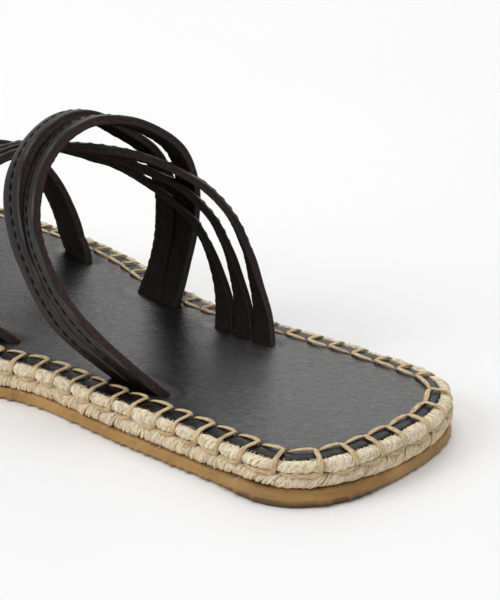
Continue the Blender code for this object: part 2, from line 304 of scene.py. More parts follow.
# ---------------------------------------------------------------------- meshes
def grid_quads(rows, cols, wrap_rows=False, wrap_cols=False):
    r = np.arange(rows if wrap_rows else rows - 1)
    c = np.arange(cols if wrap_cols else cols - 1)
    r, c = np.meshgrid(r, c, indexing="ij")
    r2, c2 = (r + 1) % rows, (c + 1) % cols
    return np.stack([r * cols + c, r * cols + c2, r2 * cols + c2, r2 * cols + c], axis=-1).reshape(-1, 4)


def strip_caps(n, first):
    """Quads that close a ring of 2n stations from its outer to its inner side."""
    i = np.arange(n - 1)
    return first + np.stack([i, i + 1, 2 * n - 2 - i, 2 * n - 1 - i], axis=-1)


def add_mesh(name, verts, faces, materials, index=None, attributes=None, sharp=None, replaces=None, solid=False):
    verts = np.asarray(verts, float).reshape(-1, 3)
    faces = [np.asarray(f) for f in faces if len(f)]
    loops = np.concatenate([f.ravel() for f in faces]).astype(np.int32)
    sizes = np.concatenate([np.full(len(f), f.shape[1]) for f in faces])
    mesh = bpy.data.meshes.new(name)
    mesh.vertices.add(len(verts))
    co = (verts - np.array([MIDDLE[0], MIDDLE[1], 0.0])) / 1000.0
    mesh.vertices.foreach_set("co", co.astype(np.float32).ravel())
    mesh.loops.add(len(loops))
    mesh.loops.foreach_set("vertex_index", loops)
    mesh.polygons.add(len(sizes))
    mesh.polygons.foreach_set("loop_start", np.concatenate([[0], np.cumsum(sizes)[:-1]]).astype(np.int32))
    mesh.update(calc_edges=True)
    for m in materials:
        mesh.materials.append(m)
    if index is not None:
        mesh.polygons.foreach_set("material_index", np.asarray(index, np.int32))
    for key, values in (attributes or {}).items():
        values = np.asarray(values, np.float32)
        if values.ndim == 1:
            mesh.attributes.new(key, "FLOAT", "POINT").data.foreach_set("value", values)
        else:
            mesh.attributes.new(key, "FLOAT_VECTOR", "POINT").data.foreach_set("vector", values.ravel())
    mesh.shade_smooth()
    if solid:
        work = bmesh.new()
        work.from_mesh(mesh)
        bmesh.ops.recalc_face_normals(work, faces=work.faces)
        work.to_mesh(mesh)
        work.free()
    if sharp:
        mesh.set_sharp_from_angle(angle=radians(sharp))
    mesh.validate()
    obj = bpy.data.objects.new(name, mesh)
    bpy.context.scene.collection.objects.link(obj)
    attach(obj, "root")
    if replaces:
        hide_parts(replaces)
    return obj


def tube_set(paths, wide, high, across, sides=6):
    """Many tubes at once: paths is (tubes, points, 3); wide is the half width
    towards across and high the half thickness."""
    paths = np.asarray(paths, float)
    k, m, _ = paths.shape
    along = np.gradient(paths, axis=1)
    along /= np.linalg.norm(along, axis=-1, keepdims=True) + 1e-9
    across = np.broadcast_to(across, paths.shape)
    side = across - along * np.sum(across * along, axis=-1, keepdims=True)
    side = side / (np.linalg.norm(side, axis=-1, keepdims=True) + 1e-9)
    up = np.cross(along, side)
    phi = 2 * np.pi * (np.arange(sides) + 0.5) / sides
    wide = np.broadcast_to(wide, (k, m))[..., None, None]
    high = np.broadcast_to(high, (k, m))[..., None, None]
    ring = (paths[:, :, None, :] + side[:, :, None, :] * wide * np.cos(phi)[:, None]
            + up[:, :, None, :] * high * np.sin(phi)[:, None])
    one = grid_quads(m, sides, wrap_cols=True)
    quads = (one[None] + (np.arange(k) * m * sides)[:, None, None]).reshape(-1, 4)
    first = (np.arange(k) * m * sides)[:, None] + np.arange(sides)[::-1]
    last = (np.arange(k) * m * sides)[:, None] + (m - 1) * sides + np.arange(sides)
    run = np.concatenate([np.zeros((k, 1)), np.cumsum(np.linalg.norm(np.diff(paths, axis=1), axis=-1), axis=1)], axis=1)
    lay = np.stack(np.broadcast_arrays(run[:, :, None], np.arange(sides)[None, None, :] * 1.0 / sides,
                                       np.arange(k)[:, None, None] * 1.0), axis=-1)
    return ring.reshape(-1, 3), [quads, first, last], lay.reshape(-1, 3)


# ------------------------------------------------------------------- materials
def srgb(r, g, b):
    c = np.array([r, g, b]) / 255.0
    return tuple(np.where(c <= 0.04045, c / 12.92, ((c + 0.055) / 1.055) ** 2.4)) + (1.0,)


class Finish:
    """A Principled material and short words for wiring its nodes."""

    def __init__(self, name, roughness=0.5, **sockets):
        self.material = bpy.data.materials.new(name)
        self.material.use_nodes = True
        self.tree = self.material.node_tree
        self.shader = self.tree.nodes["Principled BSDF"]
        self.shader.inputs["Roughness"].default_value = roughness
        for key, value in sockets.items():
            self.shader.inputs[key.replace("_", " ")].default_value = value

    def node(self, kind, settings=None, **inputs):
        n = self.tree.nodes.new("ShaderNode" + kind)
        for key, value in (settings or {}).items():
            setattr(n, key, value)
        for key, value in inputs.items():
            self.put(n, key.replace("_", " "), value)
        return n

    def put(self, n, key, value):
        socket = n.inputs[key] if isinstance(key, int) or key in n.inputs else n.inputs[int(key)]
        if isinstance(value, bpy.types.NodeSocket):
            self.tree.links.new(value, socket)
        else:
            socket.default_value = value

    def place(self):
        return self.node("TexCoord").outputs["Object"]

    def attribute(self, name, output="Vector"):
        return self.node("Attribute", {"attribute_name": name}).outputs[output]

    def mapped(self, vector, scale=(1, 1, 1), rotation=(0, 0, 0)):
        return self.node("Mapping", None, Vector=vector, Scale=scale, Rotation=rotation).outputs["Vector"]

    def noise(self, vector, scale, detail=3.0, roughness=0.55, distortion=0.0):
        return self.node("TexNoise", None, Vector=vector, Scale=scale, Detail=detail, Roughness=roughness,
                         Distortion=distortion).outputs["Fac"]

    def spots(self, vector, scale):
        return self.node("TexVoronoi", {"feature": "F1"}, Vector=vector, Scale=scale)

    def ramp(self, value, *stops):
        n = self.node("ValToRGB", None, Fac=value)
        ends = n.color_ramp.elements
        while len(ends) < len(stops):
            ends.new(0.5)
        for e, (at, colour) in zip(ends, stops):
            e.position = at
            e.color = colour if len(colour) == 4 else (*colour, 1.0)
        return n.outputs["Color"]

    def grey(self, value, low, high, a=0.0, b=1.0):
        n = self.node("MapRange", {"clamp": True})
        for key, v in zip(("Value", "From Min", "From Max", "To Min", "To Max"), (value, low, high, a, b)):
            self.put(n, key, v)
        return n.outputs["Result"]

    def mix(self, factor, a, b, blend="MIX"):
        n = self.tree.nodes.new("ShaderNodeMix")
        n.data_type = "RGBA"
        n.blend_type = blend
        for i, v in ((0, factor), (6, a), (7, b)):
            self.put(n, i, v)
        return n.outputs[2]

    def maths(self, operation, a, b=0.0):
        n = self.node("Math", {"operation": operation})
        self.put(n, 0, a)
        self.put(n, 1, b)
        return n.outputs[0]

    def bump(self, height, distance, strength=1.0, onto=None):
        n = self.node("Bump", None, Height=height, Distance=distance, Strength=strength)
        if onto is not None:
            self.put(n, "Normal", onto)
        return n.outputs["Normal"]

    def set(self, **sockets):
        for key, value in sockets.items():
            self.put(self.shader, key.replace("_", " "), value)
        return self.material


def footbed_leather():
    f = Finish("charcoal_leather")
    p = f.place()
    streak = f.mapped(f.mapped(p, rotation=(0, 0, radians(-43.5))), (330, 1500, 900))
    grain = f.noise(streak, 1.0, 5.0, 0.65, 0.8)
    pores = f.noise(p, 2600, 2.0, 0.6)
    blotch = f.noise(p, 28, 3.0, 0.5)
    body = f.ramp(grain, (0.25, srgb(11, 10, 10)), (0.55, srgb(23, 21, 21)), (0.85, srgb(48, 45, 44)))
    body = f.mix(f.grey(blotch, 0.35, 0.7, 0.0, 0.45), body, srgb(19, 18, 18))
    dust = f.spots(p, 190)
    speck = f.maths("MULTIPLY", f.grey(dust.outputs["Distance"], 0.035, 0.05, 1.0, 0.0),
                    f.grey(f.node("SeparateColor", None, Color=dust.outputs["Color"]).outputs[0], 0.8, 0.82))
    body = f.mix(f.maths("MULTIPLY", speck, 0.5), body, srgb(150, 146, 140))
    hole_and_foot_shade = f.attribute("hole_and_foot_shade", "Fac")
    # painted shade: near black in the stitch holes and round the strap feet
    body = f.mix(f.grey(hole_and_foot_shade, 0.25, 0.8), body, srgb(9, 8, 8))
    margin = f.attribute("margin", "Fac")
    body = f.mix(f.maths("MULTIPLY", margin, 0.55), body, srgb(9, 8, 8))
    rough = f.grey(grain, 0.2, 0.8, 0.2, 0.32)
    normal = f.bump(grain, 0.0002, 0.7)
    normal = f.bump(pores, 0.00008, 0.6, normal)
    shine = f.noise(f.mapped(f.mapped(p, rotation=(0, 0, radians(-43.5))), (520, 1250, 900)), 1.0, 3.0, 0.6, 0.5)
    shine = f.maths("MULTIPLY", f.grey(shine, 0.3, 0.7, 0.45, 1.0), f.grey(margin, 0.0, 1.0, 1.0, 0.4))
    return f.set(Base_Color=body, Roughness=rough, Normal=normal, Specular_IOR_Level=shine, IOR=1.35)


def cut_leather(name, dark, light, rim):
    """A cut edge: fibre specks, a fuzzy rim where the flesh side begins, and painted shade on the far legs."""
    f = Finish(name, 0.85)
    p = f.place()
    specks = f.noise(p, 2300, 3.0, 0.75)
    patch = f.noise(p, 420, 2.0, 0.6)
    body = f.ramp(specks, (0.43, dark), (0.56, f_mid(dark, light)), (0.66, light))
    body = f.mix(f.grey(patch, 0.35, 0.75, 0.0, 0.5), body, dark)
    body = f.mix(f.grey(f.attribute("depth", "Fac"), 0.55, 0.95, 0.0, 0.75), body, rim)
    # painted shade: darkens the cut edges on the far legs
    body = f.mix(f.attribute("far_leg_shade", "Fac"), body, srgb(13, 10, 9))
    normal = f.bump(specks, 0.00025, 0.9)
    return f.set(Base_Color=body, Normal=normal)


def f_mid(a, b):
    return tuple((x + y) / 2 for x, y in zip(a, b))


def strap_face():
    f = Finish("strap_grain")
    p = f.place()
    grain = f.noise(f.mapped(p, (1, 1, 1)), 1500, 4.0, 0.6, 0.2)
    long_grain = f.noise(f.mapped(f.attribute("lay"), (0.5, 0.8, 1.0)), 1.6, 4.0, 0.6)
    body = f.ramp(long_grain, (0.3, srgb(14, 11, 10)), (0.6, srgb(20, 16, 15)), (0.85, srgb(30, 24, 22)))
    # painted highlight: a pale line along the face's edges where the corners catch the light
    body = f.mix(f.grey(f.attribute("painted_edge_highlight", "Fac"), 0.2, 1.0, 0.0, 0.7), body, srgb(84, 74, 68))
    normal = f.bump(grain, 0.00009, 0.5)
    return f.set(Base_Color=body, Roughness=f.grey(grain, 0.25, 0.75, 0.34, 0.46), Normal=normal,
                 Specular_IOR_Level=0.29)


def strap_flesh():
    f = Finish("strap_flesh_side", 0.95)
    p = f.place()
    lay = f.attribute("lay")
    nap = f.noise(p, 2200, 4.0, 0.7)
    creases = f.noise(f.mapped(lay, (0.36, 0.55, 1.0)), 1.7, 4.0, 0.65, 0.9)
    patch = f.noise(p, 260, 3.0, 0.6)
    body = f.ramp(nap, (0.32, srgb(8, 6, 6)), (0.55, srgb(22, 19, 17)), (0.74, srgb(66, 59, 53)))
    # painted shade: near black in the creases
    body = f.mix(f.grey(creases, 0.36, 0.5, 0.85, 0.0), body, srgb(5, 4, 4))
    body = f.mix(f.grey(patch, 0.45, 0.75, 0.0, 0.4), body, srgb(32, 28, 26))
    normal = f.bump(creases, 0.0005, 0.6)
    normal = f.bump(nap, 0.00018, 0.9, normal)
    return f.set(Base_Color=body, Normal=normal, Specular_IOR_Level=0.2)


def strap_sewing():
    f = Finish("black_thread", 0.85, Specular_IOR_Level=0.2)
    twist = f.noise(f.mapped(f.attribute("lay"), (3.2, 2.0, 1.0)), 2.0, 2.0)
    return f.set(Base_Color=f.ramp(twist, (0.35, srgb(3, 3, 3)), (0.7, srgb(10, 9, 9))),
                 Normal=f.bump(twist, 0.0001, 0.6))


def tan_thread():
    f = Finish("tan_thread", 0.62)
    lay = f.attribute("lay")
    fibre = f.noise(f.mapped(lay, (0.35, 9.0, 3.7)), 1.6, 4.0, 0.65)
    each = f.noise(f.mapped(lay, (0.06, 0.0, 5.31)), 1.0, 1.0)
    body = f.ramp(fibre, (0.36, srgb(152, 112, 64)), (0.5, srgb(212, 181, 131)), (0.62, srgb(244, 226, 188)))
    body = f.mix(f.grey(each, 0.35, 0.65, 0.0, 0.55), body, srgb(220, 196, 152))
    # painted shade: the thread darkens where it dives into holes, runs down under the cord or lies between cord and
    # braid
    body = f.mix(f.grey(f.attribute("painted_shade", "Fac"), 0.0, 1.0, 0.0, 0.5), body, srgb(160, 118, 68))
    return f.set(Base_Color=body, Normal=f.bump(fibre, 0.0004, 0.9))


def jute(name, deep, middle, pale, along, around):
    f = Finish(name, 0.92, Specular_IOR_Level=0.15)
    lay = f.attribute("lay")
    fibre = f.noise(f.mapped(lay, (along, around, 2.9)), 1.0, 5.0, 0.7, 0.3)
    loose = f.noise(f.place(), 1700, 3.0, 0.7)
    broad = f.noise(f.place(), 70, 2.0, 0.5)
    fleck = f.noise(f.mapped(f.place(), (1.0, 1.0, 0.7)), 1350, 3.0, 0.6, 0.4)
    body = f.ramp(fibre, (0.34, deep), (0.46, middle), (0.6, pale))
    body = f.mix(f.grey(loose, 0.5, 0.68, 0.0, 0.7), body, pale)
    body = f.mix(f.grey(broad, 0.4, 0.65, 0.0, 0.25), body, middle)
    body = f.mix(f.grey(fleck, 0.33, 0.43, 0.6, 0.0), body, deep)
    # painted shade: darker towards the deep colour where the jute lies in grooves, under wraps or deep in the braid
    body = f.mix(f.grey(f.attribute("painted_shade", "Fac"), 0.0, 1.0, 0.0, 0.85), body, deep)
    normal = f.bump(fibre, 0.0004, 0.85)
    normal = f.bump(loose, 0.0002, 0.5, normal)
    return f.set(Base_Color=body, Normal=normal)


def gum_rubber():
    f = Finish("gum_rubber", 0.5, Subsurface_Weight=0.12, Subsurface_Scale=0.002)
    f.shader.inputs["Subsurface Radius"].default_value = (1.0, 0.6, 0.25)
    p = f.place()
    cloud = f.noise(p, 60, 4.0, 0.6)
    fine = f.noise(p, 900, 4.0, 0.65)
    body = f.ramp(cloud, (0.3, srgb(144, 105, 50)), (0.55, srgb(170, 130, 69)), (0.8, srgb(194, 154, 90)))
    body = f.mix(f.grey(fine, 0.55, 0.8, 0.0, 0.35), body, srgb(128, 86, 38))
    # painted shade: darker along the bottom under the lip, under the braid and at the heel corner
    body = f.mix(f.grey(f.attribute("painted_shade", "Fac"), 0.0, 1.0, 0.0, 0.88), body, srgb(76, 46, 19))
    return f.set(Base_Color=body, Roughness=f.grey(fine, 0.3, 0.7, 0.42, 0.6),
                 Normal=f.bump(fine, 0.00015, 0.5))


def plain_floor():
    f = Finish("pale_floor", 0.8, Specular_IOR_Level=0.1)
    tone = f.noise(f.place(), 3.0, 2.0)
    return f.set(Base_Color=f.ramp(tone, (0.3, (0.90, 0.90, 0.905)), (0.7, (0.92, 0.92, 0.922))))


RAW_EDGE = cut_leather("footbed_cut_edge", srgb(9, 8, 7), srgb(38, 32, 27), srgb(18, 14, 12))
STRAP_EDGE = cut_leather("strap_cut_edge", srgb(15, 8, 8), srgb(76, 48, 45), srgb(52, 13, 17))
STRAP_FACE = strap_face()
STRAP_FLESH = strap_flesh()
STRAP_SEWING = strap_sewing()
FOOTBED = footbed_leather()
THREAD = tan_thread()
CORD = jute("jute_cord", srgb(158, 124, 76), srgb(231, 212, 175), srgb(254, 246, 226), 2.6, 0.55)
BRAID = jute("jute_braid", srgb(164, 132, 94), srgb(231, 209, 175), srgb(250, 236, 209), 0.35, 9.0)
FIBRE = jute("jute_fibre", srgb(206, 180, 132), srgb(240, 226, 194), srgb(255, 251, 238), 0.3, 1.0)
SHADOWED_JUTE = jute("jute_core", srgb(84, 60, 36), srgb(128, 98, 66), srgb(166, 136, 98), 0.6, 1.0)
RUBBER = gum_rubber()

# -------------------------------------------------------------- holes and wraps
holes = np.concatenate([
    HOLE_START + HOLE_PITCH * np.arange(77),
    HOLE_START + HOLE_PITCH * 76 + HEEL_PITCH * np.arange(1, HEEL_STITCHES + 1)])
draw = np.random.default_rng(11)
holes = holes + np.clip(draw.normal(0, 0.28, len(holes)), -0.6, 0.6)
HOLES = np.sort(holes)
COUNT = len(HOLES)
NEXT = np.concatenate([HOLES[1:], [HOLES[0] + PERIMETER]])


def between_wraps(s):
    """0 at a wrap and 1 half way to the next one."""
    s = np.mod(np.asarray(s, float) - HOLES[0], PERIMETER) + HOLES[0]
    i = np.clip(np.searchsorted(HOLES, s, side="right") - 1, 0, COUNT - 1)
    u = (s - HOLES[i]) / (NEXT[i] - HOLES[i])
    return 1.0 - np.abs(2.0 * u - 1.0), i


def heel_part(s):
    """1 along the back of the heel, 0 elsewhere."""
    d = (np.asarray(s, float) + 6.0 + PERIMETER / 2) % PERIMETER - PERIMETER / 2
    return np.exp(-((d / 34.0) ** 4))


def heel_flare(s):
    """The lower layers stand out most along the outer side of the heel."""
    d = (np.asarray(s, float) - 55.0 + PERIMETER / 2) % PERIMETER - PERIMETER / 2
    return np.exp(-((d / 26.0) ** 2))


def heel_corner(s):
    """The outer corner of the heel, where the rubber is thickest and the braid lowest."""
    d = (np.asarray(s, float) - 22.0 + PERIMETER / 2) % PERIMETER - PERIMETER / 2
    return np.exp(-((d / 15.0) ** 4))


# --------------------------------------------------------------------- outsole
def make_outsole():
    n = 1300
    s = stations(n)
    flash = np.zeros_like(s)
    r = np.random.default_rng(23)
    at = 0.0
    while at < PERIMETER:
        wide, long = r.uniform(0.4, 1.2), r.uniform(0.15, 0.85)
        d = np.abs((s - at + PERIMETER / 2) % PERIMETER - PERIMETER / 2)
        flash = np.maximum(flash, long * np.clip(1.0 - d / wide, 0, 1))
        at += r.uniform(1.2, 5.0)
    flash = flash + 0.16 * np.abs(wander(s, 1.6, 5)) + 0.3 * heel_part(s) * np.clip(wander(s, 5.5, 6), 0, 1)
    back = (s + 22.0 + PERIMETER / 2) % PERIMETER - PERIMETER / 2
    flash = flash * (1.0 - 0.65 * np.exp(-((back / 22.0) ** 4)))
    swell = 0.16 * wander(s, 26, 31) + 0.05 * wander(s, 5, 32)
    top = 0.14 * wander(s, 11, 33) + 0.06 * wander(s, 2.5, 34)
    around = (s - 42.0 + PERIMETER / 2) % PERIMETER - PERIMETER / 2
    clear = np.exp(-((around / 34.0) ** 4))
    edge = OUTSOLE_EDGE + 0.75 + 0.7 * heel_flare(s) + 0.35 * clear
    rows = [(-1.9, 0.0, 0.0, 0.0), (-1.0, 0.0, 0.3, 0.0), (-0.3, 0.16, 1.0, 0.0), (-0.02, 0.36, 1.0, 0.0),
            (0.04, 0.62, 0.35, 0.0), (-0.06, 1.0, 0.0, 0.0), (-0.04, 1.6, 0.0, 0.1), (-0.06, 2.05, 0.0, 0.4),
            (-0.16, 2.48, 0.0, 0.8), (-0.36, 2.84, 0.0, 1.0), (-0.8, 3.0, 0.0, 1.0), (-2.4, 3.0, 0.0, 0.3)]
    rings, painted_shade = [], []
    # along the outer heel the lip stands clear of the floor, most at the corner
    inset = {6: 0.1, 7: 0.15, 8: 0.2, 9: 0.25, 10: 0.3, 11: 0.3}
    raised = {2: 0.1, 3: 0.25, 4: 0.28, 5: 0.15}
    corner = heel_corner(s)
    stand = {0: 1.2, 1: 1.7, 2: 1.15, 3: 1.1, 4: 1.05, 5: 0.95, 6: 0.65, 7: 0.45, 8: 0.25, 9: 0.1, 10: 0.05}
    lift = {2: 0.45, 3: 0.9, 4: 0.95, 5: 0.85, 6: 0.6, 7: 0.6, 8: 0.6, 9: 0.6, 10: 0.6, 11: 0.6}
    droop = {3: 0.55, 4: 0.2}
    for k, (reach, z, ragged, lip) in enumerate(rows):
        share = min(1.0, k / 2)
        out = stand.get(k, 0.0) * corner - inset.get(k, 0.0) * clear
        up = raised.get(k, 0.0) * clear + (lift.get(k, 0.0) - droop.get(k, 0.0) * flash) * corner
        rings.append(rim(s, edge + reach + out + ragged * flash + share * swell, z + up + lip * top))
        # painted shade: the bottom rows under the lip and the top rows under the braid are darkened, the heel corner
        # more, with some random variation
        row_shade = {0: 0.5, 1: 0.6, 2: 0.6, 3: 0.4, 4: 0.15, 9: 0.1, 10: 0.3, 11: 0.6}.get(k, 0.0)
        shade = {0: 0.5, 1: 0.4, 2: 0.4, 3: 0.3}.get(k, 0.2) * corner
        painted_shade.append(np.clip(row_shade + shade + 0.15 * wander(s, 14, 40 + k) + 0.04 * heel_part(s), 0, 1))
    # shallow ribs across the underside, inside a plain border
    tread = rim(s, edge - 4.6, 0.0)
    along = (tread[:n, 0] + tread[n:, 0][::-1]) / 2
    ends = np.clip(np.minimum(along - along.min(), along.max() - along) / 8.0 - 0.4, 0, 1)
    depth = 0.35 * ends * np.clip(0.5 + 1.6 * np.sin(2 * np.pi * along / 3.4), 0, 1)
    depth = np.concatenate([depth, depth[::-1]])
    tread[:, 2] += depth
    rings.insert(0, tread)
    # painted shade: the underside is darkened, most in the grooves between the ribs
    painted_shade.insert(0, np.clip(0.3 + depth, 0, 1))
    verts = np.concatenate(rings)
    quads = grid_quads(len(rings), 2 * n, wrap_cols=True)
    caps = [strip_caps(n, 0)[:, ::-1], strip_caps(n, (len(rings) - 1) * 2 * n)]
    return add_mesh("gum_outsole", verts, [quads] + caps, [RUBBER],
                    attributes={"painted_shade": np.concatenate(painted_shade)}, replaces="outsole", solid=True)


# ----------------------------------------------------------------- lower braid
def make_braid():
    centre, middle = BRAID_EDGE - 1.15, 4.9
    n = 500
    s = stations(n)
    core = [(centre - 1.4, middle - 1.95), (centre + 0.4, middle - 1.95), (centre + 1.0, middle - 1.2),
            (centre + 1.22, middle), (centre + 1.0, middle + 1.2), (centre + 0.4, middle + 1.95),
            (centre - 1.4, middle + 1.95)]
    low = 1.0 - 0.2 * heel_corner(s)
    verts = np.concatenate([rim(s, reach + 0.4 * heel_flare(s), 7.0 - (7.0 - z) * low) for reach, z in core])
    lay = np.concatenate([np.stack([s, np.full_like(s, k), s * 0], axis=-1) for k in range(len(core))])
    # painted shade over the whole core, which shows only between the yarns
    add_mesh("braid_core", verts, [grid_quads(len(core), 2 * n, wrap_rows=True, wrap_cols=True)], [SHADOWED_JUTE],
             attributes={"lay": lay, "painted_shade": np.full(len(verts), 0.3)}, solid=True)

    r = np.random.default_rng(41)
    step = 0.74
    dense = np.linspace(0, PERIMETER, 4000)
    run = arc_lengths(rim(dense, centre + 1.4 + 0 * dense, middle))
    count = int(run[-1] / step)
    s0 = np.interp(run[-1] * (np.arange(count) + r.uniform(0.0, 0.5, count)) / count, run, dense)
    at_heel = heel_part(s0)
    lobe = np.cos(2 * np.pi * s0 / (PERIMETER / 74)) * 0.5 + 0.5
    points, sides = 11, 8
    t = np.linspace(0, 1, points)
    swing = np.radians(-86 + 172 * t)[None, :]
    slant = (1.4 + 0.24 * r.standard_normal(count) + 0.4 * lobe - 0.35 * at_heel)[:, None]
    bulge = (0.14 * lobe + 0.09 * r.standard_normal(count))[:, None] + 0.4 * heel_flare(s0)[:, None]
    reach = centre + bulge + 1.42 * np.cos(swing)
    z = middle + 1.72 * np.sin(swing) + 0.06 * r.standard_normal(count)[:, None]
    z = 7.0 - (7.0 - z) * (1.0 - 0.2 * heel_corner(s0))[:, None]
    paths = rim(s0[:, None] - slant * (2 * t - 1)[None, :], reach, z)
    fat = ((0.43 + 0.06 * r.standard_normal(count) + 0.05 * lobe - 0.05 * at_heel)[:, None]
           * (0.66 + 0.34 * np.sin(np.pi * t) ** 0.5)[None, :])
    thin = r.random(count) < 0.02 + 0.05 * at_heel
    fat[thin] *= 0.55
    along = rim_along(np.broadcast_to(s0[:, None], reach.shape))
    across = np.concatenate([along, np.zeros(along.shape[:-1] + (1,))], axis=-1)
    verts, faces, lay = tube_set(paths, fat, fat * 0.95, across, sides)
    # painted shade: darker at the yarn ends where they dive into the braid and on thin yarns, with random variation, a
    # little lighter along the heel
    painted_shade = np.repeat(((0.04 + 0.5 * thin + 0.1 * r.standard_normal(count) - 0.06 * at_heel)[:, None]
                       + 0.3 * (np.abs(2 * t - 1) ** 3)[None, :]).reshape(-1), sides)
    lay[:, 1] = lay[:, 1] + 0.22 * lay[:, 0]
    return add_mesh("braid_yarns", verts, faces, [BRAID],
                    attributes={"lay": lay, "painted_shade": np.clip(painted_shade, 0, 1)}, replaces="jute_midsole")


# ------------------------------------------------------------------ upper cord
CORD_PROFILE = [(2.4, 7.15), (3.4, 7.05), (4.3, 7.0), (4.95, 7.06), (5.4, 7.26), (5.68, 7.6), (5.8, 8.0), (5.78, 8.42),
                (5.64, 8.82), (5.4, 9.15), (5.06, 9.4), (4.7, 9.52), (4.35, 9.52), (4.02, 9.36), (3.96, 8.9),
                (3.93, 8.4), (3.2, 8.35), (2.4, 8.3)]


MARGIN_PULL = 1.1          # the leather's margin is this much narrower at the back of the heel
CORD_CREST = arc_lengths(np.array(CORD_PROFILE))[10]


def cord_surface(s, v):
    """The cord's surface at s, at a place v along its profile, in mm from its first point."""
    profile = np.array(CORD_PROFILE)
    run = arc_lengths(profile)
    reach, z = np.interp(v, run, profile[:, 0]), np.interp(v, run, profile[:, 1])
    dv = 0.25
    dr = np.interp(v + dv, run, profile[:, 0]) - np.interp(v - dv, run, profile[:, 0])
    dz = np.interp(v + dv, run, profile[:, 1]) - np.interp(v - dv, run, profile[:, 1])
    size = np.hypot(dr, dz) + 1e-9
    out_r, out_z = dz / size, -dr / size
    free = np.clip((reach - 3.9) / 0.9, 0, 1)
    reach = reach - MARGIN_PULL * heel_part(s) * np.clip((v - CORD_CREST) / 0.5, 0, 1)
    mid, index = between_wraps(s - 0.25)
    own = np.random.default_rng(61).normal(1.0, 0.22, COUNT)[index]
    pillow = 0.78 * own * mid ** 0.5 - 0.46
    strand = 0.21 * (np.abs(np.sin(np.pi * (s / 1.55 + 0.42 * v + 0.16 * wander(s, 9, 62)))) ** 0.7 - 0.5)
    fibre = 0.045 * np.sin(2 * np.pi * (s / 0.66 + 0.9 * v + 0.3 * wander(s, 5, 63)))
    push = free * (pillow + strand + fibre + 0.09 * wander(s + 7 * v, 2.6, 64))
    return rim(s, reach + push * out_r, z + push * out_z), rim(s, reach + out_r, z + out_z)


def make_cord():
    n = 1350
    s = stations(n)
    total = arc_lengths(np.array(CORD_PROFILE))[-1]
    v = np.concatenate([[0.0, 1.0], np.linspace(1.7, 7.6, 27), [8.2, total]])
    verts = np.concatenate([cord_surface(s, np.full_like(s, one))[0] for one in v])
    mid, _ = between_wraps(s - 0.25)
    lay, painted_shade = [], []
    for one in v:
        lay.append(np.stack([s + 0.6 * one, np.full_like(s, one), 0 * s], axis=-1))
        # painted shade: darker at each wrap, low on the cord and in the grooves between strands
        low = np.clip((3.2 - one) / 1.6, 0, 1)
        groove = 0.5 - np.abs(np.sin(np.pi * (s / 1.55 + 0.42 * one + 0.16 * wander(s, 9, 62)))) ** 0.7
        painted_shade.append(np.clip(0.5 * np.exp(-(mid / 0.13) ** 2) + 0.5 * low + 0.5 * np.clip(groove, 0, 1), 0, 1))
    return add_mesh("jute_cord", verts, [grid_quads(len(v), 2 * n, wrap_rows=True, wrap_cols=True)], [CORD],
                    attributes={"lay": np.concatenate(lay), "painted_shade": np.concatenate(painted_shade)}, replaces="jute_rim",
                    solid=True)


# --------------------------------------------------------------- blanket stitch
def outline_vectors(s):
    along = rim_along(s)
    flat = np.concatenate([along, np.zeros(along.shape[:-1] + (1,))], axis=-1)
    return flat


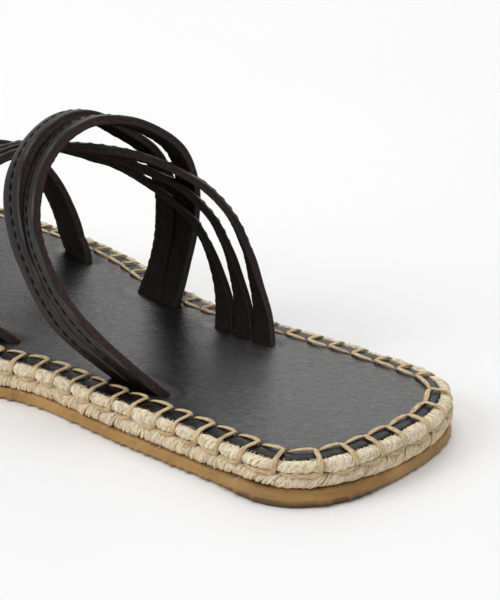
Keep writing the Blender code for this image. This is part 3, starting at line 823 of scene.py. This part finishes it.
def make_stitches():
    r = np.random.default_rng(71)
    jitter = r.standard_normal((COUNT, 6))
    broad = (1.06 + 0.12 * heel_part(HOLES))[:, None]
    # hole to hole along the leather
    t = np.array([0, 0.035, 0.10, 0.2, 0.32, 0.45, 0.58, 0.70, 0.80, 0.89, 0.955, 1.0])
    h = np.array([-0.45, -0.12, 0.10, 0.22, 0.32, 0.38, 0.42, 0.44, 0.44, 0.40, 0.22, -0.3])
    w = np.array([0.10, 0.22, 0.36, 0.46, 0.52, 0.55, 0.56, 0.56, 0.56, 0.50, 0.36, 0.14])
    start, end = NEXT - 0.25, HOLES + 0.2
    s = start[:, None] + (end - start)[:, None] * t[None, :]
    reach = (-0.18 - 0.42 * np.sin(np.pi * t ** 1.3))[None, :] + 0.1 * jitter[:, :1] * np.sin(np.pi * t)[None, :]
    z = LEATHER_TOP + h[None, :] * (1 + 0.08 * jitter[:, 1:2])
    paths = rim(s, reach, z)
    along = outline_vectors(s)
    across = np.stack([-along[..., 1], along[..., 0], 0 * along[..., 0]], axis=-1)
    verts, faces, lay = tube_set(paths, w[None, :] * broad * (1 + 0.07 * jitter[:, 2:3] + 0.08 * r.standard_normal(s.shape)),
                                 0.27 * (w / 0.56)[None, :] ** 0.5, across, 10)
    # painted shade at both ends, where the thread goes into the holes
    painted_shade = np.repeat(np.broadcast_to(np.abs(2 * t - 1) ** 6, (COUNT, len(t))).reshape(-1), 10)
    add_mesh("run_stitches", verts, faces, [THREAD], attributes={"lay": lay, "painted_shade": painted_shade})

    # from the hole out over the edge and round the cord
    out = np.array([-0.62, -0.2, 0.5, 1.4, 2.3, 3.1, 3.8, 4.4, 4.95, 5.36, 5.64, 5.76, 5.76, 5.64, 5.34, 4.9])
    drop = np.array([0.0, 0.42, 0.5, 0.42, 0.36, 0.3, 0.2, -0.02, -0.38, -0.8, -1.25, -1.7, -2.1, -2.45, -2.7, -2.8])
    w = np.array([0.14, 0.36, 0.52, 0.56, 0.56, 0.56, 0.58, 0.62, 0.64, 0.66, 0.66, 0.64, 0.62, 0.6, 0.5, 0.4])
    slope = np.linspace(0, 1, len(out))
    s = HOLES[:, None] + 0.42 + (0.35 + 0.3 * jitter[:, 3:4]) * slope[None, :] + 0.12 * np.sin(np.pi * slope)[None, :]
    paths = rim(s, out[None, :] + 0 * s, LEATHER_TOP + drop[None, :] + 0 * s)
    verts, faces, lay = tube_set(paths, w[None, :] * broad * (1 + 0.08 * jitter[:, 4:5] + 0.08 * r.standard_normal(s.shape)), 0.27,
                                 outline_vectors(s), 10)
    lay[:, 2] += 500
    # painted shade on the part that runs down under the cord
    painted_shade = np.repeat(np.broadcast_to(np.clip((slope - 0.62) / 0.3, 0, 1) * 0.8, s.shape).reshape(-1), 10)
    add_mesh("cross_stitches", verts, faces, [THREAD], attributes={"lay": lay, "painted_shade": painted_shade})

    # the loops that lie between the cord and the braid
    t = np.linspace(0, 1, 11)
    reachs = np.array([5.2, 5.62, 5.9, 6.02, 6.05, 6.02, 5.94, 5.8, 5.6, 5.3, 4.8])
    zs = np.array([7.12, 7.06, 6.98, 6.92, 6.88, 6.88, 6.92, 6.96, 7.0, 7.04, 7.08])
    w = np.array([0.4, 0.5, 0.56, 0.58, 0.56, 0.52, 0.46, 0.4, 0.34, 0.26, 0.14])
    far = (NEXT - HOLES) * (0.86 + 0.1 * np.clip(jitter[:, 5], -1.4, 1.0))
    s = HOLES[:, None] + 0.55 + far[:, None] * t[None, :]
    paths = rim(s, reachs[None, :] + 0 * s, zs[None, :] + 0.1 * jitter[:, :1] * np.sin(np.pi * t)[None, :])
    verts, faces, lay = tube_set(paths, w[None, :] * broad * (1 + 0.1 * r.standard_normal(s.shape)), 0.34,
                                 np.array([0.0, 0.0, 1.0]), 10)
    lay[:, 2] += 900
    # painted shade over the loops, which lie between the cord and the braid
    add_mesh("lower_loops", verts, faces, [THREAD],
             attributes={"lay": lay, "painted_shade": np.full(len(verts), 0.35)})


# ---------------------------------------------------------------------- fibres
def make_fibres():
    r = np.random.default_rng(81)
    sets = []
    t = np.linspace(0, 1, 6)[None, :]

    def add(s, v, ds, dv, lift, curl):
        """Fibres lying on the cord from (s, v), running (ds, dv), standing off by lift."""
        k = len(s)
        ss = s[:, None] + ds[:, None] * t + curl[:, None] * np.sin(np.pi * t)
        vv = np.clip(v[:, None] + dv[:, None] * t, 1.2, 8.2)
        surface, outside = cord_surface(ss, vv)
        n = outside - surface
        n /= np.linalg.norm(n, axis=-1, keepdims=True)
        sets.append(surface + n * (0.02 + lift[:, None] * t ** 1.6)[..., None])
        return k

    count = 1750                        # lying over the cord
    add(r.uniform(0, PERIMETER, count), r.uniform(2.2, 5.2, count), r.normal(-0.5, 0.9, count), r.normal(1.7, 0.9, count),
        np.abs(r.normal(0.05, 0.10, count)), r.normal(0, 0.25, count))
    stout = np.zeros(count) + r.uniform(0.045, 0.1, count)
    count = 1950                        # over the cut edge of the leather
    s = r.uniform(0, PERIMETER, count)
    long = (np.abs(r.normal(0.3, 0.28, count)) + 0.45) * (1 - 0.5 * heel_part(s))
    side = r.normal(0, 0.35, count)
    reach = 4.5 - long[:, None] * t - MARGIN_PULL * heel_part(s)[:, None]
    z = LEATHER_TOP - 0.42 + (0.16 + 0.14 * r.random(count))[:, None] * np.sin(np.pi * 0.6 * t)
    sets.append(rim(s[:, None] + side[:, None] * t, reach, z))
    count = 420                         # stray, off the cord and the braid
    s = r.uniform(0, PERIMETER, count)
    z0 = r.uniform(3.2, 9.0, count)
    reach0 = np.where(z0 < 7.0, 5.7, 5.6)
    ds, dz, dr = r.normal(0, 1.9, count), r.normal(-0.5, 1.3, count), np.abs(r.normal(0.5, 0.5, count))
    z = np.clip(z0[:, None] + dz[:, None] * t + r.normal(0, 0.4, count)[:, None] * np.sin(np.pi * t), 0.4, 10.2)
    sets.append(rim(s[:, None] + ds[:, None] * t, reach0[:, None] + dr[:, None] * np.sin(np.pi * 0.75 * t), z))
    paths = np.concatenate(sets)
    radius = r.uniform(0.028, 0.055, len(paths))
    radius[:len(stout)] = stout
    thick = radius[:, None] * np.array([0.7, 1, 1, 0.95, 0.85, 0.6])[None, :]
    verts, faces, lay = tube_set(paths, thick, thick, np.array([0.31, 0.17, 0.93]), 4)
    add_mesh("jute_fibres", verts, faces, [FIBRE],
             attributes={"lay": lay, "painted_shade": np.zeros(len(verts))})


# --------------------------------------------------------------------- footbed
def strap_feet():
    """Where each strap goes into the footbed, as points on the leather."""
    feet = []
    for rows, _ in STRAPS.values():
        for angle in (-BASE_ANGLE, 180.0 + BASE_ANGLE):
            feet.append(strap_points(rows, np.full(40, angle), np.linspace(-0.02, 1.02, 40), np.zeros(40)))
    return feet


def make_footbed():
    n = 620
    s = stations(n)
    mid, _ = between_wraps(s)
    near_hole = np.min(np.abs((s[:, None] - HOLES[None, :] + PERIMETER / 2) % PERIMETER - PERIMETER / 2), axis=1)
    ragged = 0.10 * np.random.default_rng(91).standard_normal(len(s)) + 0.12 * wander(s, 2.2, 92)
    top = LEATHER_TOP
    rings, hole_and_foot_shade, margin = [], [], []

    def ring(reach, z, rough=0.0):
        p = rim(s, reach + rough * ragged - MARGIN_PULL * heel_part(s) * np.clip((reach - 0.6) / 3.0, 0, 1), z)
        sunk = np.exp(-((near_hole / 0.75) ** 2) - ((reach + 0.15) / 0.6) ** 2)
        line = 0.10 * np.exp(-((reach + 0.2) / 1.1) ** 2)
        pull = -0.34 * np.clip(reach / LEATHER_EDGE, 0, 1) ** 2 + 0.2 * np.clip(reach / 2.2, 0, 1) * (mid ** 0.6 - 0.4)
        if z > LEATHER_BOTTOM + 0.6:
            p[:, 2] += -0.6 * sunk - line + pull
        rings.append(p)
        # the dent at each stitch hole also carries painted shade
        hole_and_foot_shade.append(sunk)
        margin.append(np.full(2 * n, np.clip((reach - 0.1) / 0.9, 0, 1)))

    ring(2.0, LEATHER_BOTTOM)
    ring(LEATHER_EDGE - 0.1, LEATHER_BOTTOM, 1.0)
    ring(LEATHER_EDGE, LEATHER_BOTTOM + 0.4, 1.0)
    ring(LEATHER_EDGE + 0.02, top - 0.55, 1.0)
    ring(LEATHER_EDGE - 0.02, top - 0.22, 1.0)
    ring(LEATHER_EDGE - 0.14, top - 0.07, 0.8)
    ring(LEATHER_EDGE - 0.32, top - 0.01, 0.5)
    edge_rows = 5
    for reach in (3.2, 2.7, 2.2, 1.7, 1.2, 0.8, 0.5, 0.25, 0.0, -0.25, -0.5, -0.8, -1.2, -1.8, -2.6, -3.6, -4.8):
        ring(reach, top)
    rows = len(rings)
    verts = np.concatenate(rings)
    quads = grid_quads(rows, 2 * n, wrap_cols=True)
    index = np.where(np.arange(len(quads)) // (2 * n) < edge_rows, 1, 0)
    depth = np.concatenate([np.full(2 * n, max(0.0, min(1.0, 1 - k / 5))) for k in range(rows)])

    # the middle, in lines from the outer to the inner side
    cols = 44
    share = np.linspace(0, 1, cols + 1)[1:-1]
    outer, inner = rings[-1][:n], rings[-1][n:][::-1]
    middle = outer[:, None, :] + (inner - outer)[:, None, :] * share[None, :, None]
    first = len(verts)
    inside = first + np.arange(n * (cols - 1)).reshape(n, cols - 1)
    last_ring = (rows - 1) * 2 * n
    table = np.concatenate([(last_ring + np.arange(n))[:, None], inside,
                            (last_ring + 2 * n - 1 - np.arange(n))[:, None]], axis=1)
    flat = np.stack([table[:-1, :-1], table[:-1, 1:], table[1:, 1:], table[1:, :-1]], axis=-1).reshape(-1, 4)
    verts = np.concatenate([verts, middle.reshape(-1, 3)])
    hole_and_foot_shade = np.concatenate(hole_and_foot_shade + [np.zeros(n * (cols - 1))])
    margin = np.concatenate(margin + [np.zeros(n * (cols - 1))])
    depth = np.concatenate([depth, np.zeros(n * (cols - 1))])
    index = np.concatenate([index, np.zeros(len(flat), int)])

    # unevenness of the hide, the dents where the straps go in, and painted shade round the strap feet
    upper = depth < 0.05
    x, y = verts[:, 0], verts[:, 1]
    soft = (0.10 * np.sin(x / 17 + 0.6) * np.sin(y / 13 + 1.0) + 0.06 * np.sin(x / 6.1 + y / 7.7)
            + 0.035 * np.sin(x / 2.9 - y / 4.1 + 2.0))
    verts[:, 2] += np.where(upper, soft, 0.0)
    dark = np.zeros(len(verts))
    for foot in strap_feet():
        d = np.min(np.linalg.norm(verts[:, None, :2] - foot[None, ::2, :2], axis=-1), axis=1)
        verts[:, 2] += np.where(upper, -0.45 * np.exp(-((d / 1.9) ** 2)) + 0.12 * np.exp(-(((d - 4.2) / 1.6) ** 2)), 0.0)
        # painted shade round each strap foot
        dark = np.maximum(dark, np.exp(-((d / 1.45) ** 4)))
    hole_and_foot_shade = np.maximum(hole_and_foot_shade, 0.9 * dark)
    under = strip_caps(n, 0)[:, ::-1]
    index = np.concatenate([index, np.ones(len(under), int)])
    return add_mesh("leather_footbed", verts, [quads, flat, under], [FOOTBED, RAW_EDGE], index=index,
                    attributes={"hole_and_foot_shade": hole_and_foot_shade, "depth": depth, "margin": margin}, replaces="footbed", solid=True)


# ---------------------------------------------------------------------- straps
def band_sections(rows, count, index, step=0.5):
    """Angles along a band, evenly spaced over its length."""
    dense = np.linspace(-BASE_ANGLE - BURIED_ANGLE, 180 + BASE_ANGLE + BURIED_ANGLE, 1200)
    low, high = band_shares(rows, count, index, dense)
    run = arc_lengths(strap_points(rows, dense, (low + high) / 2, np.zeros_like(dense)))
    places = np.linspace(0, run[-1], int(run[-1] / step))
    return np.interp(places, run, dense), places


# how far the front band of the long strap hangs below the other two, in mm
Sag = namedtuple("Sag", "angle depth")
LONG_FRONT_SAG = [Sag(80, 0.0), Sag(96, 0.0), Sag(108, -0.9), Sag(120, -1.6), Sag(130, -1.7), Sag(138, -0.4), Sag(144, 0.9),
                  Sag(150, 2.6), Sag(157, 3.8), Sag(165, 3.7), Sag(174, 2.3), Sag(190, 1.1), Sag(204, 0.3), Sag(215, 0.0)]


def band_sag(key, index, angle):
    if key != "long" or index == 0:
        return 0.0
    depth = column(LONG_FRONT_SAG, "depth", angle)
    # the middle band follows part of the way, and starts a little before
    return depth if index == 2 else 0.45 * np.maximum(depth, 0.0) + 0.8 * np.exp(-(((angle - 140.0) / 9.0) ** 2))


def band_width(rows, count, index, angle):
    low, high = band_shares(rows, count, index, angle)
    return np.linalg.norm(strap_points(rows, angle, high, 0.0) - strap_points(rows, angle, low, 0.0), axis=-1)


def band_points(key, index, angle, across, height):
    """Points of a band: across in mm from its rear edge, height in mm off its middle
    surface, turned about the band's own length."""
    rows, count = STRAPS[key]
    low, high = band_shares(rows, count, index, angle)
    width = band_width(rows, count, index, angle)
    tilt = np.radians(column(TWIST, key, angle))
    if (key, index) == ("rear", 1):         # low on the outer side it lies level with its neighbour
        tilt = tilt * np.clip((angle - 12.0) / 45.0, 0.0, 1.0)
    centred = across - width / 2
    turned = width / 2 + centred * np.cos(tilt) + height * np.sin(tilt)
    lifted = height * np.cos(tilt) - centred * np.sin(tilt) - band_sag(key, index, angle)
    return strap_points(rows, angle, low + (high - low) * turned / width, lifted)


def band_profile():
    """Cross-section of a band: (from rear, from front, height, kind) in mm.
    kind 0 is the grain face, 1 a cut edge, 2 the flesh side."""
    half = STRAP_THICK / 2
    points = []
    for q in np.linspace(0, 1, 19):
        points.append((q, 0.34 * (1 - 2 * q), half, 0))
    points += [(1, -0.13, half - 0.07, 0), (1, -0.02, half - 0.24, 0),
               (1, 0.02, half - 0.5, 1), (1, 0.0, 0.3, 1), (1, -0.03, 0.08, 1), (1, -0.1, 0.0, 1), (1, -0.03, -0.08, 1),
               (1, 0.02, -0.35, 1), (1, 0.0, -half + 0.32, 1), (1, -0.08, -half + 0.1, 1)]
    for q in np.linspace(1, 0, 13):
        points.append((q, 0.26 * (1 - 2 * q), -half, 2))
    points += [(0, 0.08, -half + 0.1, 1), (0, 0.0, -half + 0.32, 1), (0, -0.02, -0.35, 1), (0, 0.03, -0.08, 1),
               (0, 0.1, 0.0, 1), (0, 0.03, 0.08, 1), (0, 0.0, 0.3, 1), (0, -0.02, half - 0.5, 1),
               (0, 0.02, half - 0.24, 0), (0, 0.13, half - 0.07, 0)]
    return points


def make_straps():
    profile = band_profile()
    q = np.array([p[0] for p in profile])
    off = np.array([p[1] for p in profile])
    h = np.array([p[2] for p in profile])
    kind = np.array([p[3] for p in profile])
    half = STRAP_THICK / 2
    seed = 100
    sewing = []
    first = True
    for key, (rows, count) in STRAPS.items():
        for index in range(count):
            seed += 1
            r = np.random.default_rng(seed)
            angle, place = band_sections(rows, count, index)
            width = band_width(rows, count, index, angle)
            m, k = len(angle), len(profile)
            length = place[-1]
            across = q[None, :] * width[:, None] + off[None, :]
            # the face is crowned and drawn down along its row of stitches
            height = np.broadcast_to(h, (m, k)).copy()
            mid = across / width[:, None] - 0.5
            face, flesh, edge = kind == 0, kind == 2, kind == 1
            crown = 0.16 * (1 - (2 * mid) ** 2) - 0.17 * np.exp(-((mid * width[:, None] / 0.5) ** 2))
            crown = crown + 0.02 * wander(place, 7, seed + 300, length)[:, None] * np.cos(5 * mid)
            height[:, face] += crown[:, face]
            fold = (0.07 * np.sin(2 * np.pi * (2.1 * mid + 0.15 * wander(place, 26, seed + 400, length)[:, None]))
                    + 0.05 * np.sin(2 * np.pi * (4.7 * mid + 0.3 + 0.2 * wander(place, 17, seed + 500, length)[:, None])))
            height[:, flesh] += fold[:, flesh] + 0.03 * r.standard_normal((m, int(flesh.sum())))
            # cut edges: uneven, and scalloped where the sewing draws them in
            scallop = 0.20 * np.abs(np.sin(np.pi * place / 2.95))[:, None] + 0.12 * wander(place, 2.4, seed + 600, length)[:, None]
            inner_side = np.clip((0.2 - h) / half, 0, 1)[None, :]
            outward = np.where(q > 0.5, 1.0, -1.0)[None, :]
            rough = 0.055 * r.standard_normal((m, k)) + scallop * inner_side
            across = across + np.where((edge | flesh & ((q < 0.01) | (q > 0.99)))[None, :], rough * outward, 0.0)
            verts = band_points(key, index, angle[:, None], across, height)
            for end, inner in ((0, 1), (-1, -2)):
                c, i = verts[end], verts[inner]
                verts[end] = c + (i - c) * ((STRAP_END - c[:, 2]) / np.where(np.abs(i[:, 2] - c[:, 2]) < 1e-6, 1e-6, i[:, 2] - c[:, 2]))[:, None]
            quads = grid_quads(m, k, wrap_cols=True)
            both = np.stack([kind[:], np.roll(kind, -1)])
            per = np.where((both == 1).any(0) & ~((both == 0).any(0)), 1, np.where((both == 2).all(0), 2, np.where((both == 0).any(0), 0, 1)))
            mats = np.tile(per, m - 1)
            caps = [np.arange(k)[None, ::-1], ((m - 1) * k + np.arange(k))[None, :]]
            lay = np.stack(np.broadcast_arrays(place[:, None], across, np.array([[seed * 3.7]])), axis=-1)
            depth = np.broadcast_to(np.clip((half - h) / STRAP_THICK, 0, 1), (m, k))
            # painted highlight along both edges of the grain face, varying along the band
            painted_edge_highlight = np.broadcast_to(np.where((kind == 0) & ((q < 0.01) | (q > 0.99)), 1.0, 0.0), (m, k)) \
                * np.clip(0.55 + 0.5 * wander(place, 13, seed + 700, length), 0, 1)[:, None]
            # painted shade on the cut edges of the far legs, less on the rearmost edge
            far_leg_shade = (np.clip((angle - 125.0) / 40.0, 0, 1) if key != "front" else np.clip((angle - 60.0) / 60.0, 0, 1))[:, None] \
                * np.where((q < 0.5) & (index == 0), 0.4, 0.9)[None, :]
            add_mesh("band_%s_%d" % (key, index), verts, [quads] + caps, [STRAP_FACE, STRAP_EDGE, STRAP_FLESH],
                     index=np.concatenate([mats, [1, 1]]),
                     attributes={"lay": lay.reshape(-1, 3), "depth": depth.ravel(), "painted_edge_highlight": painted_edge_highlight.ravel(), "far_leg_shade": far_leg_shade.ravel()},
                     replaces="strap_upper" if first else None, solid=True)
            first = False

            # the row of stitches down the middle of the band
            starts = np.arange(4.0, length - 6.0, 2.95) + r.uniform(-0.12, 0.12, len(np.arange(4.0, length - 6.0, 2.95)))
            t = np.linspace(0, 1, 7)
            along = starts[:, None] + 2.72 * t[None, :]
            ang = np.interp(along, place, angle)
            middle = band_width(rows, count, index, ang) * (0.5 + 0.02 * wander(along, 30, seed + 800, length))
            rise = np.array([-0.16, 0.02, 0.13, 0.17, 0.13, 0.02, -0.16])[None, :]
            sewing.append(band_points(key, index, ang, middle, half - 0.06 + rise))
    thick = np.array([0.14, 0.21, 0.25, 0.26, 0.25, 0.21, 0.14])[None, :]
    verts, faces, lay = tube_set(np.concatenate(sewing), thick, thick * 0.85, np.array([1.0, 0.2, 0.1]), 6)
    add_mesh("band_stitches", verts, faces, [STRAP_SEWING], attributes={"lay": lay})


# ----------------------------------------------------------------------- stage
def make_stage():
    mesh = bpy.data.meshes.new("floor")
    size = 6.0
    mesh.from_pydata([(-size, -size, -0.0001), (size, -size, -0.0001), (size, size, -0.0001), (-size, size, -0.0001)], [],
                     [(0, 1, 2, 3)])
    mesh.materials.append(plain_floor())
    floor = bpy.data.objects.new("floor", mesh)
    bpy.context.scene.collection.objects.link(floor)

    world = bpy.data.worlds.new("studio")
    bpy.context.scene.world = world
    world.use_nodes = True
    back = world.node_tree.nodes["Background"]
    back.inputs["Color"].default_value = (1.0, 1.0, 1.0, 1.0)
    back.inputs["Strength"].default_value = 0.56

    def area(name, place, aim, size, power):
        lamp = bpy.data.lights.new(name, "AREA")
        lamp.shape, lamp.size, lamp.energy = "DISK", size, power
        obj = bpy.data.objects.new(name, lamp)
        bpy.context.scene.collection.objects.link(obj)
        obj.location = place
        direction = np.array(aim, float) - np.array(place, float)
        flat = float(np.hypot(direction[0], direction[1]))
        obj.rotation_euler = (np.arctan2(flat, -direction[2]), 0.0, np.arctan2(direction[1], direction[0]) - np.pi / 2)

    area("overhead", (0.15, -0.25, 1.6), (-0.03, 0.0, 0.0), 2.0, 10.4)
    area("behind", (0.9, -1.36, 0.86), (-0.08, 0.0, 0.02), 1.15, 4.6)
    area("left", (0.45, 1.0, 0.75), (-0.03, 0.0, 0.02), 0.8, 6.0)

    camera = bpy.data.cameras.new("camera")
    camera.lens, camera.sensor_width, camera.sensor_fit = 120.0, 36.0, "AUTO"
    camera.clip_start, camera.clip_end = 0.01, 20.0
    obj = bpy.data.objects.new("camera", camera)
    bpy.context.scene.collection.objects.link(obj)
    obj.location = (-0.378526, 0.317721, 0.191214)
    obj.rotation_euler = (radians(69.7), 0.0, radians(223.55))
    bpy.context.scene.camera = obj
    bpy.context.scene.view_settings.view_transform = "Standard"


make_outsole()
make_braid()
make_cord()
make_stitches()
make_fibres()
make_footbed()
make_straps()
make_stage()
